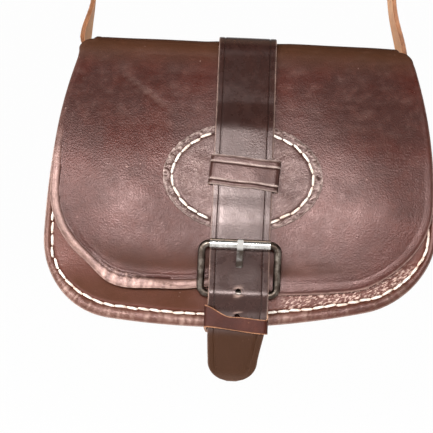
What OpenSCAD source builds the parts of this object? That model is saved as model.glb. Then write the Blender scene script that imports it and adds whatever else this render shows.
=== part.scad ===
// Leather saddle bag with a shoulder strap and a roller-buckle closure.
// Millimetres, +Z up, the front faces -Y. The origin is under the top of the shoulder strap,
// where a hook or a shoulder carries the bag.

/* [Bag body] */
// Widest part of the bag
bag_w = 266; // [240:1:300]
// Depth of the bag at its bottom edge
depth_bottom = 72; // [60:1:90]
// Depth of the bag at the top of the front panel
depth_top = 48; // [44:1:58]
// Height of the front panel, along its slope
front_h = 182; // [172:1:200]
// Radius of the lower corners
corner_r = 55; // [40:1:65]
// Radius of the bowed bottom edge
bow_r = 575; // [400:5:900]
// Radius of the sides, which draw in towards the top
side_r = 520; // [450:5:800]
// Radius of the panels' top corners
panel_top_r = 6; // [3:0.5:10]
// Thickness of the panel leather
panel_t = 3; // [2:0.1:4]
// Thickness of the gusset leather
gusset_t = 2.4; // [1.6:0.1:3]
// Width of the gusset's turned-out flanges
flange_w = 8; // [6:0.5:12]

/* [Flap] */
// Widest part of the flap
flap_w = 260; // [236:1:290]
// Height of the flap's lower edge above the bag's bottom
flap_edge = 27; // [27:0.5:40]
// Radius of the flap's lower corners
flap_corner_r = 58; // [40:1:65]
// Radius of the flap's bowed lower edge
flap_bow_r = 600; // [400:5:900]
// Radius of the flap's sides
flap_side_r = 240; // [220:5:320]
// Radius of the flap's top corners
flap_top_r = 13; // [10:0.5:18]
// Thickness of the flap leather
flap_t = 3; // [2:0.1:4]
// Gap between the front panel and the flap
flap_gap = 0.5; // [0.4:0.1:1.5]
// Height of the crown above the front panel's top
crown_rise = 14; // [10:1:24]
// Bend radius over the back edge of the crown
crown_back_r = 16; // [10:1:18]
// Bend radius over the front edge of the crown
crown_front_r = 12; // [8:1:14]
// Flat length of the crown between each bend and its fold line
crown_lip = 2; // [1:0.5:4]

/* [Closure strap] */
// Width of the closure strap
strap_w = 40; // [30:1:45]
// Thickness of the closure strap
strap_t = 3; // [2:0.1:4]
// Length of the strap's tail below the bag
tail_l = 36; // [24:1:60]
// Diameter of the prong holes
hole_d = 4; // [3:0.1:5]
// Distance between the prong holes
hole_pitch = 16.5; // [14:0.5:20]
// Number of spare prong holes below the one in use
spare_holes = 2; // [0:1:2]
// Bend radius of the strap on its way past the buckle
strap_bend_r = 9; // [6:0.5:12]

/* [Patch and keepers] */
// Width of the oval patch
patch_w = 108; // [90:1:130]
// Height of the oval patch
patch_h = 75; // [60:1:90]
// Thickness of the patch leather
patch_t = 1.8; // [1.2:0.1:2.5]
// Height of the patch's middle above the bag's bottom
patch_mid = 99; // [96:1:112]
// Height of the keeper's middle above the patch's middle
keeper_up = 6; // [0:1:12]
// Width of the keeper band on the patch, along the closure strap
keeper_band = 20; // [14:1:24]
// Width of the lower keeper band, along the closure strap
lower_band = 18; // [14:1:20]
// Length of the lower keeper that hangs below the bag
lower_hang = 4; // [2:0.5:8]
// Thickness of the keeper leather
keeper_t = 1.5; // [1:0.1:2]

/* [Buckle] */
// Diameter of the frame wire
wire_d = 5; // [4:0.1:6]
// Diameter of the roller
roller_d = 7; // [6.6:0.1:9]
// Distance from the heel bar to the roller, along the front panel
bar_pitch = 33; // [30:0.5:38]
// Height of the heel bar above the bag's bottom
heel_up = 22; // [21.5:0.1:22.4]
// Bend radius of the frame's corners, at the middle of the wire
frame_corner_r = 5; // [4:0.5:7]
// Thickness of the prong
prong_d = 3.2; // [2.6:0.1:3.4]
// Width of the prong
prong_w = 4.2; // [3.4:0.1:5]
// Width of the prong's eye on the heel bar
prong_eye_w = 6; // [5:0.1:7]
// Wall of the prong's eye
prong_eye_t = 1.3; // [1:0.1:1.6]
// Reach of the prong past the roller's middle
prong_over = 3; // [2:0.5:5]
// Radius of the bend in the prong
prong_bend_r = 8; // [5:0.5:12]
// Thickness of the chape leather
chape_t = 2; // [1.4:0.1:2.2]
// Height of the chape's sewn end above the bag's bottom
chape_foot = 3; // [2:0.5:6]

/* [Shoulder strap] */
// Width of the shoulder strap
shoulder_w = 22; // [16:1:24]
// Thickness of the shoulder strap
shoulder_t = 3; // [2:0.1:4]
// Length of each straight leg of the shoulder strap
leg_l = 400; // [250:10:480]
// Inward lean of the legs, in degrees
leg_lean = 7.5; // [4:0.5:9]
// Length of each end that is sewn to the gusset
sewn_l = 60; // [40:1:70]
// Bend radius where the legs leave the gusset
leg_bend_r = 60; // [30:5:90]

/* [Stitching] */
// Diameter of the waxed thread
thread_d = 1.1; // [0.8:0.1:1.4]
// Length of one stitch
stitch_l = 5; // [3:0.1:6]
// Distance from one stitch to the next
stitch_pitch = 7.5; // [6.5:0.1:9]
// Distance from the seams to the leather's edge
seam_inset = 5.5; // [4.5:0.1:7]
// Distance from the oval seam to the patch's edge
patch_seam = 5; // [4:0.5:7]
// Distance from the tab seams to the tab's edge
tab_seam = 3.5; // [3:0.1:5]

/* [Fits] */
// Gap between leather layers that lie on each other
lay = 0.2; // [0.1:0.05:0.4]
// Radial clearance of the buckle's running fits
run = 0.05; // [0.02:0.01:0.1]
// Gap along each fold line of the flap
fold_gap = 0.3; // [0.2:0.05:0.6]
// Side play of the closure strap in the keepers
keeper_play = 0.8; // [0.4:0.1:1.5]
// Side play of the closure strap in the buckle frame
frame_play = 3; // [1.5:0.1:4]
// Gap between the chape's loop and the strap that goes over it
heel_room = 0.4; // [0.3:0.1:1]
// Slack of the closure strap in the lower keeper
lower_slack = 2.2; // [1.6:0.1:3]
// Side play of the roller and the prong's eye
end_play = 0.3; // [0.2:0.05:0.5]

/* [Hidden] */
$fn = 64;

// Colours
hide = "#4a241b";
hide_dark = "#35190f";
hide_red = "#6b3322";
tan_hide = "#a8754f";
waxed_thread = "#e8dfcf";
dark_steel = "#5a5553";
bright_steel = "#b9b4ad";

// Groove of a panel's seam
groove_w = thread_d + 4 * lay;
groove_h = thread_d + lay;

// Points on a round stretch of an outline, and on each other stretch
arc_n = 10;
// Room that a cutting solid needs past what it cuts
far = 400;

// Slope of the front panel, which leans back towards the top
slope = asin((depth_bottom - depth_top) / front_h);

// Heights along the front panel (s) and distances out from its face (w)
flap_mid_w = flap_gap + flap_t / 2;
flap_face = flap_gap + flap_t;
patch_face = flap_face + lay + patch_t;
strap_on_flap = flap_face + lay + strap_t / 2;
strap_on_patch = patch_face + lay + strap_t / 2;
crown_top_s = front_h + crown_rise;
front_turn = 90 - slope;
fold_s = crown_top_s - crown_front_r * tan(front_turn / 2) - crown_lip;
flap_top = fold_s - flap_t / 2 - fold_gap;
patch_top = patch_mid + patch_h / 2;

// Buckle: the heel bar turns in the chape, and the strap goes under the roller and over the heel bar
wire_r = wire_d / 2;
prong_r = prong_d / 2;
roller_r = roller_d / 2;
loop_r = wire_r + run + chape_t;
chape_w = 2 * lay + keeper_t;
heel_w = chape_w + loop_r;
roller_up = heel_up + bar_pitch;
roller_w = strap_on_patch + strap_t / 2 + lay + roller_r;
frame_tilt = atan2(roller_w - heel_w, bar_pitch);
frame_l = norm([bar_pitch, roller_w - heel_w]);
frame_half = strap_w / 2 + frame_play + wire_r;
bar_l = 2 * (frame_half - frame_corner_r);
lower_top = lower_band - lower_hang;
heel = [heel_up, heel_w];
heel_bend_r = loop_r + heel_room + strap_t / 2;
strap_in_lower = chape_w + chape_t + thread_d + lower_slack + strap_t / 2;
under_roller = [roller_up, strap_on_patch];
into_lower = [lower_top, strap_in_lower];
fall_dir = aim(under_roller, heel, heel_bend_r, -1);
strap_over_heel = meet(under_roller, fall_dir, into_lower, aim(into_lower, heel, heel_bend_r, 1));
strap_fall = -fall_dir[1] / fall_dir[0];

// The prong lies behind the strap as far as its bend, then goes through the strap and over the roller
prong_bend_s = heel_up + 0.4 * bar_pitch;
prong_bend_w = strap_on_patch + (roller_up - prong_bend_s) * strap_fall - strap_t / 2 - 2 * lay - prong_r;
prong_bend = [prong_bend_s, prong_bend_w];
to_roller = [roller_up, roller_w] - prong_bend;
prong_rise = atan2(to_roller[1], to_roller[0]) + asin((roller_r + lay + prong_r) / norm(to_roller));
prong_reach = (roller_up + prong_over - prong_bend_s) / cos(prong_rise);
strap_slope = tan(prong_rise) + strap_fall;
hole_in_use = prong_bend_s + (strap_t / 2 + 2 * lay + prong_r) / strap_slope;
slot_w = prong_w + 2 * end_play;
slot_round = sqrt(pow(slot_w, 2) - pow(prong_w, 2));
slot_l = (strap_t + prong_d / cos(prong_rise)) / strap_slope + 2 * end_play - slot_round;

// Shoulder strap, seen from the front: sewn along the gusset, then two legs and a round top
body_corner = corner_centre(bag_w, bow_r, corner_r, 0);
side_centre = [bag_w / 2 - side_r, body_corner[1]];
gusset_top = front_h * cos(slope);
shoulder_arc_r = side_r - flange_w + lay + shoulder_t / 2;
sewn_top = asin((gusset_top - side_centre[1]) / shoulder_arc_r);
sewn_foot = sewn_top - sewn_l / shoulder_arc_r * 180 / PI;
shoulder_foot = side_centre + shoulder_arc_r * [cos(sewn_top), sin(sewn_top)];
bend_centre = shoulder_foot + leg_bend_r * [cos(sewn_top), sin(sewn_top)];
leg_foot = bend_centre - leg_bend_r * [cos(leg_lean), sin(leg_lean)];
leg_top = leg_foot + leg_l * [-sin(leg_lean), cos(leg_lean)];
top_r = leg_top[0] / cos(leg_lean);
top_centre = [0, leg_top[1] - top_r * sin(leg_lean)];
hang_z = top_centre[1] + top_r - shoulder_t / 2;
shoulder_y = -(panel_t + depth_top) / 2;

// Plane geometry

function unit(v) = v / norm(v);
function left_of(v) = [-v[1], v[0]];
function flip(path) = [for (i = [len(path) - 1:-1:0]) [-path[i][0], path[i][1]]];

// Points on a circle, without the first
function arc(centre, r, from, to, n = arc_n) =
  [for (i = [1:n]) let (a = from + (to - from) * i / n) centre + r * [cos(a), sin(a)]];

// Arc that rounds the corner b between a and c
function fillet(a, b, c, r, n = arc_n) =
  let (u = unit(a - b), v = unit(c - b), half = acos(u * v) / 2)
  let (centre = b + unit(u + v) * r / sin(half), start = b + u * r / tan(half) - centre)
  let (end = b + v * r / tan(half) - centre, from = atan2(start[1], start[0]))
  let (turn = (atan2(end[1], end[0]) - from + 540) % 360 - 180)
  concat([centre + start], arc(centre, r, from, from + turn, n));

// A line of points with each inner corner rounded to its own radius
function rounded(p, r, n = arc_n) = concat(
  [p[0]],
  [for (i = [1:len(p) - 2]) each fillet(p[i - 1], p[i], p[i + 1], r[i - 1], n)],
  [p[len(p) - 1]]);

// Direction from p that passes a circle on one side, and the point where two lines meet
function aim(p, centre, r, side) =
  let (v = centre - p, a = atan2(v[1], v[0]) + side * asin(r / norm(v)))
  [cos(a), sin(a)];
function meet(p, u, q, v) = p + u * cross(q - p, v) / cross(u, v);

// Outline of a strip of thickness t along a path
function along(path, i) = unit(path[min(i + 1, len(path) - 1)] - path[max(i - 1, 0)]);
function side_line(path, d) = [for (i = [0:len(path) - 1]) path[i] + left_of(along(path, i)) * d];
function strip(path, t) =
  let (back = side_line(path, -t / 2))
  concat(side_line(path, t / 2), [for (i = [len(back) - 1:-1:0]) back[i]]);

// Length of a path up to point i, and the point and direction at a distance along it
function reach(path) = [for (i = 0, d = 0; i < len(path);
  d = d + (i + 1 < len(path) ? norm(path[i + 1] - path[i]) : 0), i = i + 1) d];
function leg_at(reached, d, i = 0) = i + 2 >= len(reached) || reached[i + 1] >= d ? i : leg_at(reached, d, i + 1);
function spot(path, reached, d) =
  let (i = leg_at(reached, d), u = unit(path[i + 1] - path[i]))
  [path[i] + u * (d - reached[i]), atan2(u[1], u[0])];

// Centre of a lower corner, which touches the bowed bottom and the widest line
function corner_centre(w, bottom_r, r, base) =
  let (x = w / 2 - r)
  [x, base + bottom_r - sqrt(pow(bottom_r - r, 2) - x * x)];

// Right half of a pouch outline, set in by d: bowed bottom, round corner and drawn-in side
function pouch_side(w, bottom_r, r, sides_r, base, top, top_r, d) =
  let (c = corner_centre(w, bottom_r, r, base), lean = atan2(c[0], base + bottom_r - c[1]))
  let (s = [w / 2 - sides_r, c[1]], rise = top - top_r - c[1])
  let (t = [s[0] + sqrt(pow(sides_r - d - top_r, 2) - rise * rise), top - top_r])
  let (turn = atan2(rise, t[0] - s[0]))
  concat(
    arc([0, base + bottom_r], bottom_r - d, -90, lean - 90),
    arc(c, r - d, lean - 90, 0),
    arc(s, sides_r - d, 0, turn),
    arc(t, top_r, turn, 90));
function body_side(top, d) = pouch_side(bag_w, bow_r, corner_r, side_r, 0, top, panel_top_r, d);
function body_outline(top, d = 0) =
  let (half = body_side(top, d))
  concat([[0, d]], half, flip(half));
function flap_outline() =
  let (half = pouch_side(flap_w, flap_bow_r, flap_corner_r, flap_side_r, flap_edge, flap_top, flap_top_r, 0))
  concat([[0, flap_edge]], half, flip(half));

// Seam line: a body outline without its top edge
function seam_line(top) =
  let (side = body_side(top, seam_inset), half = [for (i = [0:len(side) - arc_n - 1]) side[i]])
  concat(flip(half), [[0, seam_inset]], half);
function oval(w, h, n = 48) = [for (i = [0:n - 1]) [w / 2 * cos(360 * i / n), h / 2 * sin(360 * i / n)]];

// Point of the front panel in the side view [y, z]
function front_point(s, w) = [s * sin(slope) - w * cos(slope) - depth_bottom, s * cos(slope) + w * sin(slope)];

// Side view of the crown, from the back fold over the top to the front fold
crown_back_y = -flap_t / 2;
crown_top = front_point(crown_top_s, flap_mid_w);
back_corner = [crown_back_y, crown_top[1]];
back_fold_z = crown_top[1] - crown_back_r - crown_lip;
back_top = back_fold_z - flap_t / 2 - fold_gap;
front_fold = front_point(fold_s, flap_mid_w);
crown_path = concat(
  [[crown_back_y, back_fold_z]],
  fillet([crown_back_y, back_fold_z], back_corner, crown_top, crown_back_r),
  fillet(back_corner, crown_top, front_fold, crown_front_r),
  [front_fold]);
flap_top_half = flap_w / 2 - flap_side_r + sqrt(pow(flap_side_r - flap_top_r, 2)
  - pow(flap_top - flap_top_r - corner_centre(flap_w, flap_bow_r, flap_corner_r, flap_edge)[1], 2));

// The closure strap's root lies on the crown, from behind its top to the front fold
root_step = flap_t / 2 + lay + strap_t / 2;
root_top_s = crown_top_s + root_step * tan(front_turn / 2);
root_end = front_point(fold_s, strap_on_flap);
root_path = concat(
  [back_corner + [-crown_back_r, root_step]],
  fillet(back_corner + [0, root_step], front_point(root_top_s, strap_on_flap), root_end, crown_front_r + root_step),
  [root_end]);

// Side view of the closure strap's front [s, w], from the front fold to its tip
patch_ramp = 20;
ramp_r = 40;
strap_path = rounded(
  [
    [fold_s - fold_gap, strap_on_flap],
    [patch_top + patch_ramp, strap_on_flap],
    [patch_top + 2, strap_on_patch],
    under_roller,
    strap_over_heel,
    into_lower,
    [-tail_l, strap_in_lower]
  ],
  [ramp_r, ramp_r, strap_bend_r, heel_bend_r, strap_bend_r],
  6);

// Places

// Bag frame: the bottom edge of the front panel is at height 0 and the back face at y = 0
module place() {
  translate([0, -shoulder_y, -hang_z]) children();
}

// Children drawn as (x, height) stand upright, with their thickness going forwards from the back face
module upright() {
  rotate([90, 0, 0]) children();
}

// Children drawn as (x, height) lie on the back face, with their thickness going outwards
module on_back() {
  upright() mirror([0, 0, 1]) children();
}

// Children drawn as (x, s) lie on the front panel's face, with their thickness going outwards
module on_front() {
  translate([0, -depth_bottom, 0]) rotate([90 - slope, 0, 0]) children();
}

// A side view made into a solid of width w, centred on x = 0
module across(w) {
  rotate([90, 0, 90]) translate([0, 0, -w / 2]) linear_extrude(height = w) children();
}

module cross_bar(r, l) {
  rotate([0, 90, 0]) cylinder(r = r, h = l, center = true);
}

// A row of stitches along a path, lying on the plane z = 0
module stitches(path) {
  reached = reach(path);
  total = reached[len(path) - 1];
  count = floor(total / stitch_pitch);
  for (i = [0:count - 1]) {
    at = spot(path, reached, (i + 0.5) * total / count);
    translate([at[0][0], at[0][1], thread_d / 2 + lay / 4])
      rotate([0, 0, at[1]]) cross_bar(thread_d / 2, stitch_l);
  }
}

// Bag body

// Panel with its outer face on the plane z = 0 and a groove for its seam
module sewn_panel(top) {
  difference() {
    translate([0, 0, -panel_t]) linear_extrude(height = panel_t) polygon(body_outline(top));
    translate([0, 0, -groove_h]) linear_extrude(height = 2 * groove_h)
      body_band(top + 2 * panel_top_r, seam_inset - groove_w / 2, seam_inset + groove_w / 2);
  }
}

// Stitches of a panel's seam, which lie on the floor of its groove
module sunk_seam(top) {
  translate([0, 0, -groove_h]) stitches(seam_line(top));
}

module back_panel() {
  color(hide) place() on_back() sewn_panel(back_top);
}

module front_panel() {
  color(hide) place() on_front() sewn_panel(front_h);
}

// Open U-shaped band between two body outlines
module body_band(top, outer, inner) {
  difference() {
    polygon(body_outline(top, outer));
    polygon(body_outline(top + far / 4, inner));
  }
}

module gusset() {
  inner = flange_w + gusset_t;
  color(hide_dark) place() {
    difference() {
      upright() translate([0, 0, panel_t]) linear_extrude(height = depth_bottom)
        body_band(gusset_top, flange_w, inner);
      on_front() translate([-far, -far, -panel_t]) cube(2 * far);
    }
    upright() translate([0, 0, panel_t]) linear_extrude(height = gusset_t) body_band(gusset_top, 0, inner);
    on_front() translate([0, 0, -panel_t - gusset_t])
      linear_extrude(height = gusset_t) body_band(front_h, 0, inner);
  }
}

module front_seam_thread() {
  color(waxed_thread) place() on_front() sunk_seam(front_h);
}

module back_seam_thread() {
  color(waxed_thread) place() on_back() sunk_seam(back_top);
}

module shoulder_strap() {
  right = concat(
    [side_centre + shoulder_arc_r * [cos(sewn_foot), sin(sewn_foot)]],
    arc(side_centre, shoulder_arc_r, sewn_foot, sewn_top),
    arc(bend_centre, -leg_bend_r, sewn_top, leg_lean),
    arc(leg_foot, leg_l, 90 + leg_lean, 90 + leg_lean, 1),
    arc(top_centre, top_r, leg_lean, 90));
  left = flip(right);
  path = concat(right, [for (i = [1:len(left) - 1]) left[i]]);
  color(tan_hide) place() translate([0, shoulder_y + shoulder_w / 2, 0]) upright()
    linear_extrude(height = shoulder_w) polygon(strip(path, shoulder_t));
}

// Two rows of stitches down each sewn end of the shoulder strap, on its outer face
module strap_end_thread() {
  r = shoulder_arc_r + shoulder_t / 2 + lay / 4 + thread_d / 2;
  rows = [-1, 1] * (shoulder_w / 2 - tab_seam);
  count = floor((sewn_l - 2 * tab_seam) / stitch_pitch);
  step = stitch_pitch / shoulder_arc_r * 180 / PI;
  first = (sewn_foot + sewn_top - (count - 1) * step) / 2;
  color(waxed_thread) place()
    for (hand = [0, 1], row = rows, i = [0:count - 1])
      mirror([hand, 0, 0]) translate([side_centre[0], shoulder_y + row, side_centre[1]])
        rotate([0, -first - i * step, 0]) translate([r, 0, 0]) cylinder(d = thread_d, h = stitch_l, center = true);
}

// Closure on the front panel

// The chape wraps the heel bar, with a slot for the prong's eye, and its foot is sewn to the front panel
module chape() {
  stub = lower_top + lay;
  color(hide_red) place() on_front() difference() {
    union() {
      across(strap_w) polygon([
        [chape_foot, chape_w],
        [heel_up, chape_w],
        [heel_up, heel_w + loop_r],
        [stub, chape_w + chape_t],
        [chape_foot, chape_w + chape_t]]);
      translate([0, heel_up, heel_w]) cross_bar(loop_r, strap_w);
    }
    translate([0, heel_up, heel_w]) cross_bar(wire_r + run, strap_w + 2);
    eye_room = prong_eye_w + 2 * end_play;
    translate([-eye_room / 2, stub + 1, 0]) cube([eye_room, far, far]);
  }
}

// A row of stitches across the chape's foot, inside the lower keeper
module chape_thread() {
  half = strap_w / 2 - tab_seam;
  color(waxed_thread) place() on_front() translate([0, chape_foot + tab_seam, chape_w + chape_t])
    stitches([[-half, 0], [half, 0]]);
}

// Closed loop round the chape's foot and the closure strap
module lower_keeper() {
  half = strap_w / 2 + keeper_play;
  deep = strap_in_lower + strap_t / 2 + keeper_play - keeper_t;
  color(hide_red) place() on_front() translate([0, -lower_hang, lay]) difference() {
    translate([-half - keeper_t, 0, 0]) cube([2 * (half + keeper_t), lower_band, deep + 2 * keeper_t]);
    translate([-half, -1, keeper_t]) cube([2 * half, lower_band + 2, deep]);
  }
}

// Flap

module flap_crown() {
  color(hide) place() {
    across(2 * flap_top_half) polygon(strip(crown_path, flap_t));
    translate([0, crown_back_y, back_fold_z]) cross_bar(flap_t / 2, 2 * flap_top_half);
    translate([0, front_fold[0], front_fold[1]]) cross_bar(flap_t / 2, 2 * flap_top_half);
  }
}

module closure_strap_root() {
  color(hide_dark) place() across(strap_w) polygon(strip(root_path, strap_t));
}

module closure_root_thread() {
  half = strap_w / 2 - tab_seam;
  color(waxed_thread) place()
    translate([0, root_path[0][0] - tab_seam, root_path[0][1] + strap_t / 2])
      stitches([[-half, 0], [half, 0]]);
}

module flap_front() {
  color(hide) place() on_front() translate([0, 0, flap_gap])
    linear_extrude(height = flap_t) polygon(flap_outline());
}

// Keeper band on the patch: its outer half width, and the slits that its ends go through
keeper_half = strap_w / 2 + keeper_play + keeper_t;

module oval_patch() {
  color(hide) place() on_front() translate([0, patch_mid, flap_face + lay]) difference() {
    linear_extrude(height = patch_t) polygon(oval(patch_w, patch_h));
    for (hand = [-1, 1])
      translate([hand * (keeper_half - keeper_t / 2), keeper_up, 0])
        cube([keeper_t + 2 * lay, keeper_band + 2 * lay, 3 * patch_t], center = true);
  }
}

module patch_thread() {
  path = oval(patch_w - 2 * patch_seam, patch_h - 2 * patch_seam);
  clear = strap_w / 2 + keeper_play;
  right = [for (p = path) if (p[0] > clear && p[1] < 0) p];
  right_up = [for (p = path) if (p[0] > clear && p[1] >= 0) p];
  half = concat(right, right_up);
  color(waxed_thread) place() on_front() translate([0, patch_mid, patch_face])
    for (hand = [0, 1]) mirror([hand, 0, 0]) stitches(half);
}

module patch_keeper() {
  inner = keeper_half - keeper_t;
  rise = strap_on_patch + strap_t / 2 - flap_face;
  color(hide) place() on_front() translate([0, patch_mid + keeper_up - keeper_band / 2, flap_face + lay])
    difference() {
      translate([-keeper_half, 0, 0]) cube([2 * keeper_half, keeper_band, rise + keeper_t]);
      translate([-inner, -1, -1]) cube([2 * inner, keeper_band + 2, rise + 1]);
    }
}

module closure_strap() {
  half = strap_w / 2;
  tip = -tail_l + half;
  color(hide_dark) place() on_front() difference() {
    intersection() {
      across(strap_w) polygon(strip(strap_path, strap_t));
      union() {
        translate([-half, tip, -far / 2]) cube([strap_w, far, far]);
        translate([0, tip, -far / 2]) cylinder(r = half, h = far);
      }
    }
    for (end = [-1, 1])
      translate([0, hole_in_use + end * slot_l / 2, 0]) cylinder(d = slot_w, h = far);
    translate([-slot_w / 2, hole_in_use - slot_l / 2, 0]) cube([slot_w, slot_l, far]);
    for (i = [1:1:spare_holes])
      translate([0, hole_in_use - i * hole_pitch, 0]) cylinder(d = hole_d, h = far);
  }
}

// Buckle

// Children lie in the plane of the buckle frame, with the heel bar on the x axis
module on_buckle() {
  on_front() translate([0, heel_up, heel_w]) rotate([frame_tilt, 0, 0]) children();
}

module buckle_frame() {
  color(dark_steel) place() on_buckle() {
    for (bar = [0, frame_l]) translate([0, bar, 0]) cross_bar(wire_r, bar_l);
    for (hand = [-1, 1])
      translate([hand * frame_half, frame_corner_r, 0]) rotate([-90, 0, 0])
        cylinder(r = wire_r, h = frame_l - 2 * frame_corner_r);
    for (turn = [0:3]) {
      right = turn == 0 || turn == 3 ? 1 : -1;
      y = turn < 2 ? frame_l - frame_corner_r : frame_corner_r;
      translate([right * bar_l / 2, y, 0]) rotate([0, 0, 90 * turn])
        rotate_extrude(angle = 90) translate([frame_corner_r, 0]) circle(r = wire_r);
    }
  }
}

module buckle_roller() {
  color(bright_steel) place() on_buckle() translate([0, frame_l, 0]) difference() {
    cross_bar(roller_r, bar_l - 2 * end_play);
    cross_bar(wire_r + run, bar_l);
  }
}

// The prong is one bent tongue: an eye on the heel bar, a bend and a round tip
module buckle_prong() {
  tip = prong_bend + prong_reach * [cos(prong_rise), sin(prong_rise)];
  path = rounded([heel, prong_bend, tip], [prong_bend_r]);
  color(bright_steel) place() on_front() difference() {
    union() {
      translate([0, heel_up, heel_w]) cross_bar(wire_r + run + prong_eye_t, prong_eye_w);
      intersection() {
        across(prong_w) polygon(strip(path, prong_d));
        union() {
          translate([-prong_w / 2, 0, 0]) cube([prong_w, tip[0] - prong_w / 2, far]);
          translate([0, tip[0] - prong_w / 2, 0]) cylinder(d = prong_w, h = far);
        }
      }
    }
    translate([0, heel_up, heel_w]) cross_bar(wire_r + run, prong_eye_w + 2);
  }
}

back_panel();
front_panel();
gusset();
front_seam_thread();
back_seam_thread();
shoulder_strap();
strap_end_thread();
chape();
chape_thread();
lower_keeper();
flap_crown();
closure_strap_root();
closure_root_thread();
flap_front();
oval_patch();
patch_thread();
patch_keeper();
closure_strap();
buckle_frame();
buckle_roller();
buckle_prong();
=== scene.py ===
import math

import bpy
import numpy as np
from mathutils import Matrix, Vector, noise


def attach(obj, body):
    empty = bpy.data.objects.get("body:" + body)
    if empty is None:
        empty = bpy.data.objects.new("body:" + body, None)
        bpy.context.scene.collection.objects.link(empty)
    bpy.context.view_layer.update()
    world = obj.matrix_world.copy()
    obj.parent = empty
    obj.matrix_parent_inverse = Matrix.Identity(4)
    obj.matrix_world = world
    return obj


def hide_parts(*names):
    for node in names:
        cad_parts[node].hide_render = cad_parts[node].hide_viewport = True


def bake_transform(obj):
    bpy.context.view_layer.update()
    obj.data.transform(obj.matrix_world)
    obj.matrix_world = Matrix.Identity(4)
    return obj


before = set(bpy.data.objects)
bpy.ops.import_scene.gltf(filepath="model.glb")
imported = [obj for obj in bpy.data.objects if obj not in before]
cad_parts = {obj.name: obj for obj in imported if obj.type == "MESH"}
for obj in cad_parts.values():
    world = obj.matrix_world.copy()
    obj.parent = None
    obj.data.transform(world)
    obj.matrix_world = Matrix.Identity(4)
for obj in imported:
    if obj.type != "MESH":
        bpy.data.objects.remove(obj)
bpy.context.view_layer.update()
scene = bpy.context.scene
scene.view_settings.view_transform = "Standard"

# Sizes in millimetres. s runs up the front panel, w stands out from its face,
# and t runs along the hide: up the flap, over the crown and down the back. It bends from T_FRONT to T_TOP
# and from T_BACK_BEND to T_BACK, and the flap's sheet meets the back's at T_SPLIT.
DEPTH, MID_Y, BASE_Z = 72, 25.5, 633.585
BODY = (266, 575, 55, 520)  # width, and the radii of the bottom, the corners and the sides
SLOPE = math.asin(24 / 182)
SIN, COS = math.sin(SLOPE), math.cos(SLOPE)
FLAP_FACE = 3.5
PATCH_MID, PATCH_W, PATCH_H, PATCH_T = 99, 108, 75, 1.8
PATCH_SEEN = PATCH_MID + 2.4  # the photo has it higher
LEATHER_T, GUSSET_T, KEEPER_T, CHAPE_T = 3, 2.4, 1.5, 1.7
SEAM_IN = 5.5
CROWN_HALF = 105.5
FRONT_BEND_R, BACK_BEND_R = 13.5, 17.5
T_FRONT = 185.49
T_TOP = T_FRONT + FRONT_BEND_R * (math.pi / 2 - SLOPE)
TOP_Z = 196.1
FRONT_BEND = (T_FRONT * SIN + 10 * COS - DEPTH, T_FRONT * COS - 10 * SIN)
BACK_BEND = (-BACK_BEND_R, TOP_Z - BACK_BEND_R)
T_BACK_BEND = T_TOP + BACK_BEND[0] - FRONT_BEND[0]
T_BACK = T_BACK_BEND + BACK_BEND_R * math.pi / 2
T_SPLIT = T_TOP + 10
T_END = T_BACK + BACK_BEND[1]


def bag(x, y, z):
    """Point of the bag: z up from its bottom edge, y back to its back face."""
    return Vector((x / 1000, (y + MID_Y) / 1000, (z - BASE_Z) / 1000))


def front(x, s, w):
    """Point on the front panel's plane, or w in front of it."""
    return bag(x, s * SIN - w * COS - DEPTH, s * COS + w * SIN)


def over(x, t, out=0.0):
    """Point of the hide's outer face, or out from it."""
    if t <= T_FRONT:
        return front(x, t, FLAP_FACE + out)
    if t <= T_TOP:
        a = SLOPE + (t - T_FRONT) / FRONT_BEND_R
        r = FRONT_BEND_R + out
        return bag(x, FRONT_BEND[0] - r * math.cos(a), FRONT_BEND[1] + r * math.sin(a))
    if t <= T_BACK_BEND:
        return bag(x, FRONT_BEND[0] + t - T_TOP, TOP_Z + out)
    if t <= T_BACK:
        a = (t - T_BACK_BEND) / BACK_BEND_R
        r = BACK_BEND_R + out
        return bag(x, BACK_BEND[0] + r * math.sin(a), BACK_BEND[1] + r * math.cos(a))
    return bag(x, out, BACK_BEND[1] - (t - T_BACK))


def ease(low, high, v):
    """0 at low and beyond it, 1 at high and beyond it, smooth between; low may be the larger one."""
    k = min(max((v - low) / (high - low), 0.0), 1.0)
    return k * k * (3 - 2 * k)


def cloud(x, y, size, seed=0.0):
    """Soft noise, about -1 to 1, with lumps of that size."""
    return noise.noise(Vector((x / size, y / size, seed)))


def crease(x, y, sx, sy, seed, width=0.12):
    """1 in the bottom of a wandering fold, 0 away from it."""
    return max(0.0, 1 - abs(noise.noise(Vector((x / sx, y / sy, seed)))) / width) ** 2


# Outlines

def arc(cx, cy, r, a0, a1, n):
    a = np.linspace(a0, a1, n)
    return np.stack([cx + r * np.cos(a), cy + r * np.sin(a)], 1)


def pouch(width, bow_r, corner_r, side_r, base, top, inset=0.0):
    """Right half of a pouch outline, and how many of its points lie below the middle of the corner."""
    cx = width / 2 - corner_r
    cy = base + bow_r - math.sqrt((bow_r - corner_r) ** 2 - cx * cx)
    lean = math.atan2(cx, base + bow_r - cy) - math.pi / 2
    sx = width / 2 - side_r
    turn = math.asin((top - cy) / (side_r - inset))
    bottom = np.concatenate([
        arc(0, base + bow_r, bow_r - inset, -math.pi / 2, lean, 40),
        arc(cx, cy, corner_r - inset, lean, lean / 2, 24)[1:]])
    side = np.concatenate([
        arc(cx, cy, corner_r - inset, lean / 2, 0, 24)[1:],
        arc(sx, cy, side_r - inset, 0, turn, 60)[1:]])
    return np.concatenate([bottom, side]), len(bottom)


def line_at(path, k):
    """Points at shares k of a path's length."""
    step = np.r_[0, np.cumsum(np.linalg.norm(np.diff(path, axis=0), axis=1))]
    k = np.asarray(k) * step[-1]
    return np.stack([np.interp(k, step, path[:, 0]), np.interp(k, step, path[:, 1])], 1)


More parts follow.
